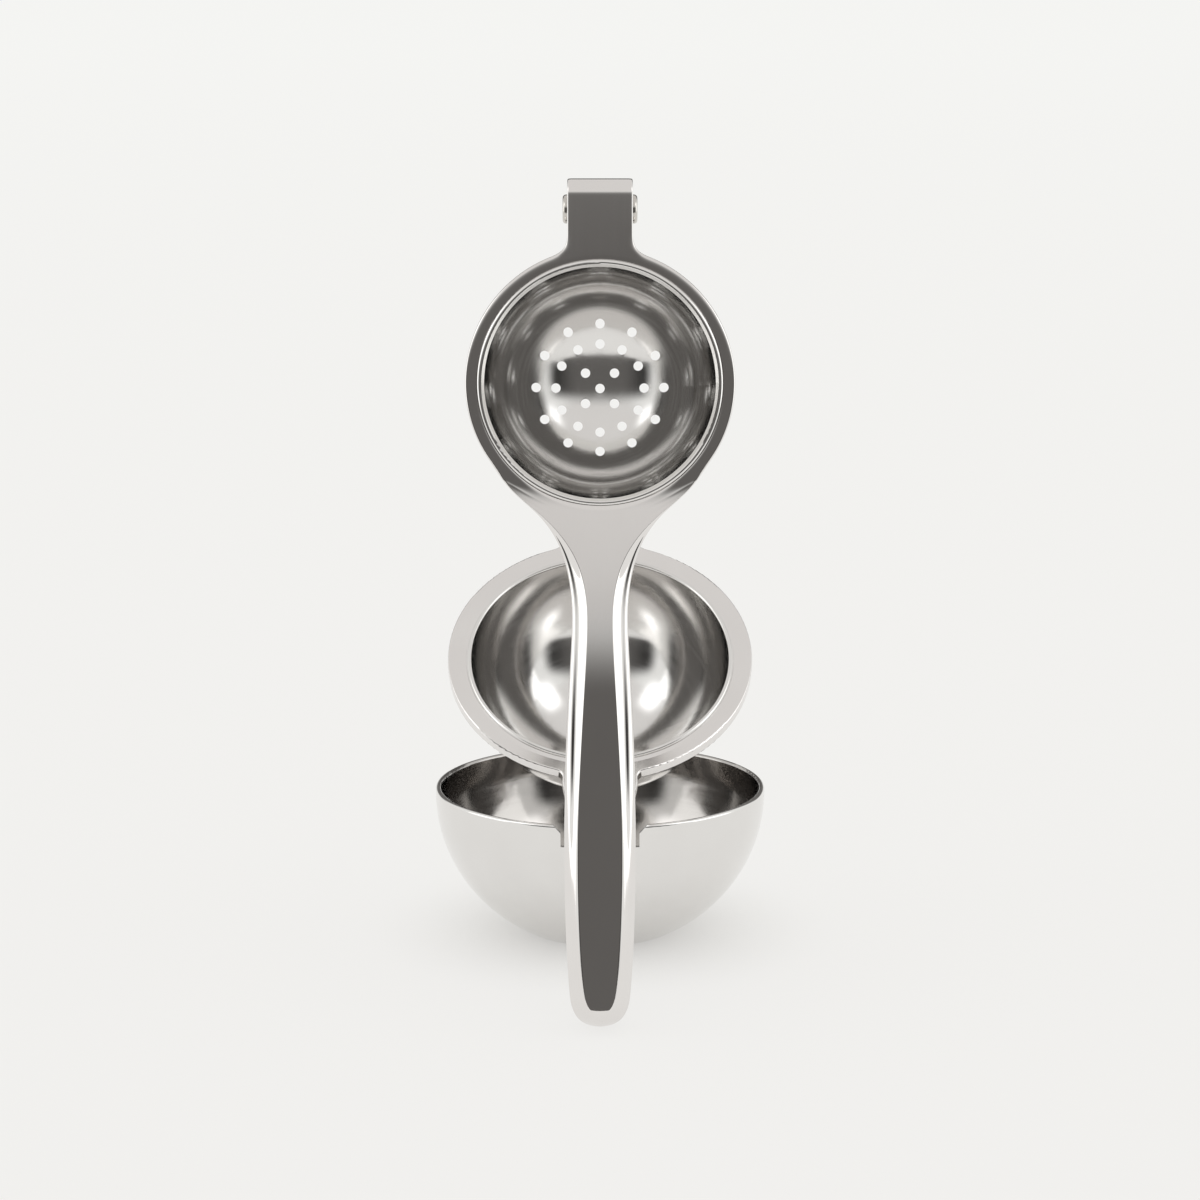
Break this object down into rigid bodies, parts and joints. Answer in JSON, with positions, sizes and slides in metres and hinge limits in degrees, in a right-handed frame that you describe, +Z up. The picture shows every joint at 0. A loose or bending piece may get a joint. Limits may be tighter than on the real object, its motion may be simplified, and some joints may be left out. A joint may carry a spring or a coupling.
{
  "type": "citrus press",
  "caption": "Polished steel citrus press: perforated strainer on a long lever docked upright before a catch cup, with a solid press bowl hinged above the cup.",
  "frame": {"origin": "centre of the catch cup's flat base, on the floor", "axes": "+Z up, -Y toward the front where the lever stands, +X to the right seen from the front"},
  "size_m": [0.0914, 0.1456, 0.2148],
  "materials": {
    "polished_steel": "mirror polished stainless steel",
    "washer_bronze": "plain sintered bronze"
  },
  "bodies": {
    "cup": {"cup_shell": "polished_steel", "cup_bracket": "polished_steel", "bracket_rivet_left": "polished_steel", "bracket_rivet_right": "polished_steel", "pivot_pin": "polished_steel", "pivot_cap": "polished_steel", "friction_washer_left": "washer_bronze", "friction_washer_right": "washer_bronze"},
    "bowl": {"bowl_arm": "polished_steel", "press_bowl": "polished_steel"},
    "lever": {"lever_body": "polished_steel", "strainer_bowl": "polished_steel", "strainer_retainer": "polished_steel", "hinge_pin": "polished_steel", "hinge_pin_cap": "polished_steel", "handle_back_plate": "polished_steel", "dock_strap": "polished_steel", "strap_screw_left": "polished_steel", "strap_screw_right": "polished_steel"},
    "sleeve": {"hinge_sleeve": "polished_steel"}
  },
  "joints": [
    {"name": "bowl_pivot", "type": "hinge", "parent": "cup", "child": "bowl", "pos_m": [0, -0.0661, 0.0409], "axis": [1, 0, 0], "range_deg": [-32.4, 0]},
    {"name": "lever_lift", "type": "slide", "parent": "cup", "child": "lever", "axis": [0, 0.2079, 0.9781], "range_m": [0, 0.06]},
    {"name": "sleeve_turn", "type": "hinge", "parent": "lever", "child": "sleeve", "pos_m": [0, -0.04358, 0.20662], "axis": [1, 0, 0], "continuous": true}
  ]
}
